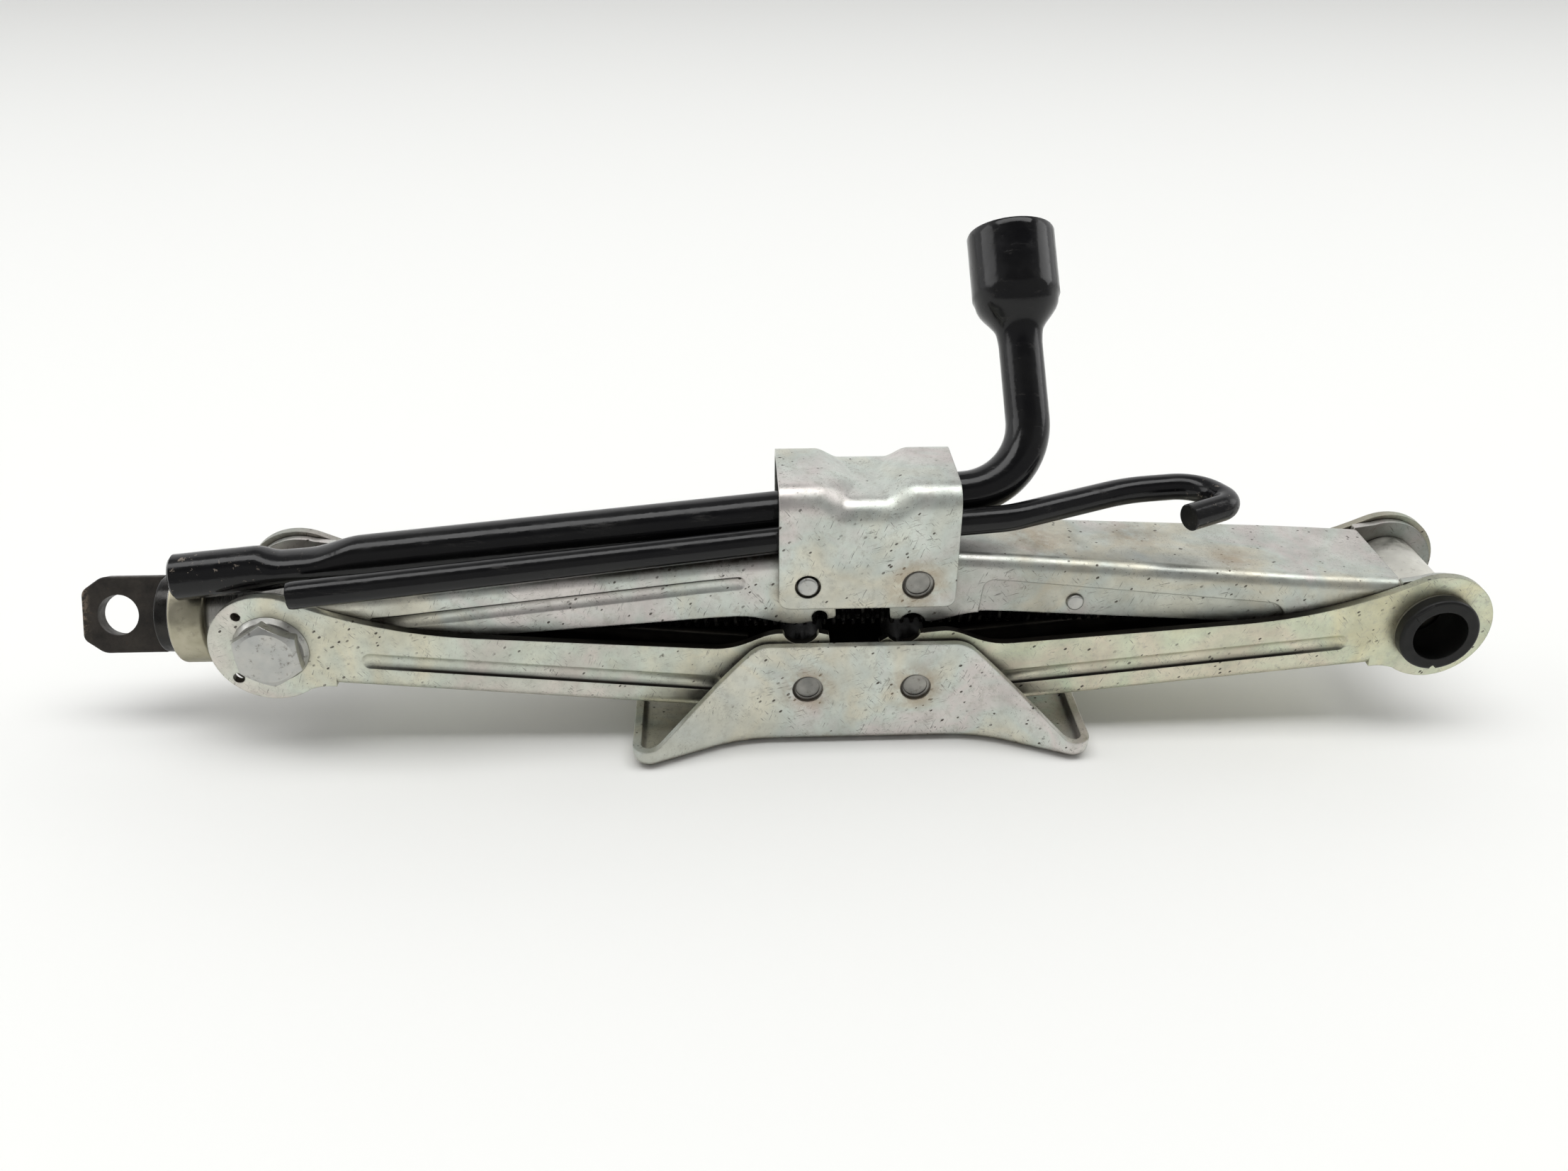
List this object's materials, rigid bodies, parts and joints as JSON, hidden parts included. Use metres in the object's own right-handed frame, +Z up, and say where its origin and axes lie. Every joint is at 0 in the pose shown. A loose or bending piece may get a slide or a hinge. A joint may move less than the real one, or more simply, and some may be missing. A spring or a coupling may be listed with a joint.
{
  "type": "scissor car jack",
  "caption": "Folded scissor car jack with geared arms, lead screw and nut, foot, saddle, and a wheel wrench and crank rod stowed in the saddle.",
  "frame": {"origin": "middle of the foot's flat underside", "axes": "+X along the folded jack from the crank eye to the nut end, +Z up towards the saddle, +Y to the side away from the bolt-head view"},
  "size_m": [0.4228, 0.1019, 0.1416],
  "materials": {
    "zinc_steel": "zinc-plated pressed sheet, satin, with faint yellow and pink iridescence",
    "plated_fasteners": "zinc-plated, satin",
    "bare_steel": "machined steel, lightly oiled",
    "bearing_steel": "ground steel, greased",
    "cage_brass": "stamped, greased",
    "greased_screw": "dark rolled thread with grease",
    "black_oxide": "black oxide worn to brown rust at the edges",
    "black_paint": "gloss black paint, scuffed and chipped at the ends",
    "black_plastic": "moulded, satin"
  },
  "bodies": {
    "base": {"foot": "zinc_steel", "foot_rivet_left": "plated_fasteners", "foot_rivet_right": "plated_fasteners", "foot_spacer_left": "bare_steel", "foot_spacer_right": "bare_steel"},
    "lower_left": {"lower_arm_left": "zinc_steel"},
    "lower_right": {"lower_arm_right": "zinc_steel"},
    "upper_left": {"upper_arm_left": "zinc_steel"},
    "upper_right": {"upper_arm_right": "zinc_steel", "arm_rivet": "plated_fasteners"},
    "trunnion_left": {"trunnion_block": "bare_steel", "trunnion_bolt_front": "plated_fasteners", "trunnion_bolt_rear": "plated_fasteners", "thrust_race_fixed": "bearing_steel", "bearing_balls": "bearing_steel", "bearing_cage": "cage_brass", "bearing_cup": "bare_steel"},
    "trunnion_right": {"trunnion_nut": "bare_steel", "storage_bush": "black_plastic"},
    "screw": {"lead_screw": "greased_screw", "screw_collar": "greased_screw", "screw_eye": "black_oxide", "thrust_race_turning": "bearing_steel"},
    "saddle": {"saddle": "zinc_steel", "saddle_pin_left": "plated_fasteners", "saddle_rivet_right": "plated_fasteners"},
    "wrench": {"wheel_wrench": "black_paint"},
    "rod": {"crank_rod": "black_paint"}
  },
  "joints": [
    {"name": "lower_left_lift", "type": "hinge", "parent": "base", "child": "lower_left", "pos_m": [-0.01615, 0, 0.0198], "axis": [0, 1, 0], "range_deg": [0, 60]},
    {"name": "lower_right_lift", "type": "hinge", "parent": "base", "child": "lower_right", "pos_m": [0.01615, 0, 0.0198], "axis": [0, 1, 0], "range_deg": [-60, 0]},
    {"name": "upper_left_knee", "type": "hinge", "parent": "lower_left", "child": "upper_left", "pos_m": [-0.17197, 0, 0.03544], "axis": [0, 1, 0], "range_deg": [-120, 0]},
    {"name": "upper_right_knee", "type": "hinge", "parent": "lower_right", "child": "upper_right", "pos_m": [0.17197, 0, 0.03544], "axis": [0, 1, 0], "range_deg": [0, 120]},
    {"name": "trunnion_left_level", "type": "hinge", "parent": "lower_left", "child": "trunnion_left", "pos_m": [-0.17197, 0, 0.03544], "axis": [0, 1, 0], "range_deg": [-60, 0]},
    {"name": "trunnion_right_level", "type": "hinge", "parent": "lower_right", "child": "trunnion_right", "pos_m": [0.17197, 0, 0.03544], "axis": [0, 1, 0], "range_deg": [0, 60]},
    {"name": "saddle_level", "type": "hinge", "parent": "upper_left", "child": "saddle", "pos_m": [-0.01615, 0, 0.05107], "axis": [0, 1, 0], "range_deg": [0, 60]},
    {"name": "screw_spin", "type": "hinge", "parent": "trunnion_left", "child": "screw", "pos_m": [-0.17197, 0, 0.03544], "axis": [1, 0, 0], "continuous": true},
    {"name": "wrench_slide", "type": "slide", "parent": "saddle", "child": "wrench", "axis": [0.9954, 0.0677, 0.0677], "range_m": [0, 0.012]},
    {"name": "rod_slide", "type": "slide", "parent": "saddle", "child": "rod", "axis": [0.9928, 0.1071, 0.0531], "range_m": [0, 0.012]}
  ],
  "couplings": [
    {"joint": "lower_right_lift", "follows": "lower_left_lift", "ratio": -1},
    {"joint": "upper_left_knee", "follows": "lower_left_lift", "ratio": -2},
    {"joint": "upper_right_knee", "follows": "lower_left_lift", "ratio": 2},
    {"joint": "trunnion_left_level", "follows": "lower_left_lift", "ratio": -1},
    {"joint": "trunnion_right_level", "follows": "lower_left_lift", "ratio": 1},
    {"joint": "saddle_level", "follows": "lower_left_lift", "ratio": 1}
  ]
}
